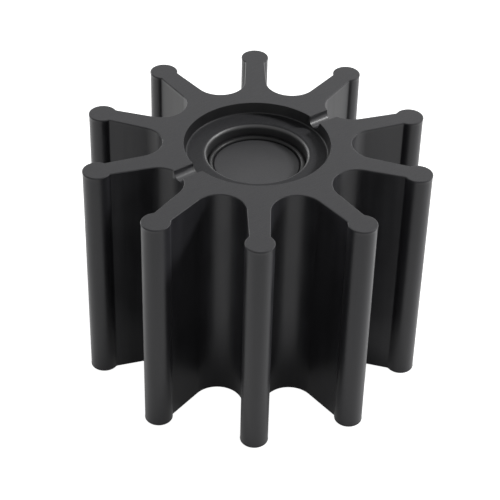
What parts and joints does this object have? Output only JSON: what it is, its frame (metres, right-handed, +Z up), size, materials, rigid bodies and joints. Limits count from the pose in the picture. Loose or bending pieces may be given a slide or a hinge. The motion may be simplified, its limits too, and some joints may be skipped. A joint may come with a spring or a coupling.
{
  "type": "flexible pump impeller",
  "caption": "Flexible rubber pump impeller: straight bulb-tipped blades on a round hub, moulded over a keyed metal insert closed by a sealed plug.",
  "frame": {"origin": "centre of the lower end face, on the shaft axis", "axes": "+Z up the shaft axis towards the end face with the recess and the plug; X runs along the two vent grooves and the keyway points to +X"},
  "size_m": [0.0908, 0.095, 0.0658],
  "materials": {
    "blade_rubber": "moulded black rubber, satin on the moulded walls and fine matt on the ground end faces",
    "insert_brass": "machined",
    "plug_rubber": "hard black rubber, matt",
    "ring_rubber": "smooth black rubber, slightly glossy"
  },
  "bodies": {
    "root": {"blade_body": "blade_rubber", "hub_insert": "insert_brass", "bore_plug": "plug_rubber", "sealing_ring": "ring_rubber"}
  },
  "joints": []
}
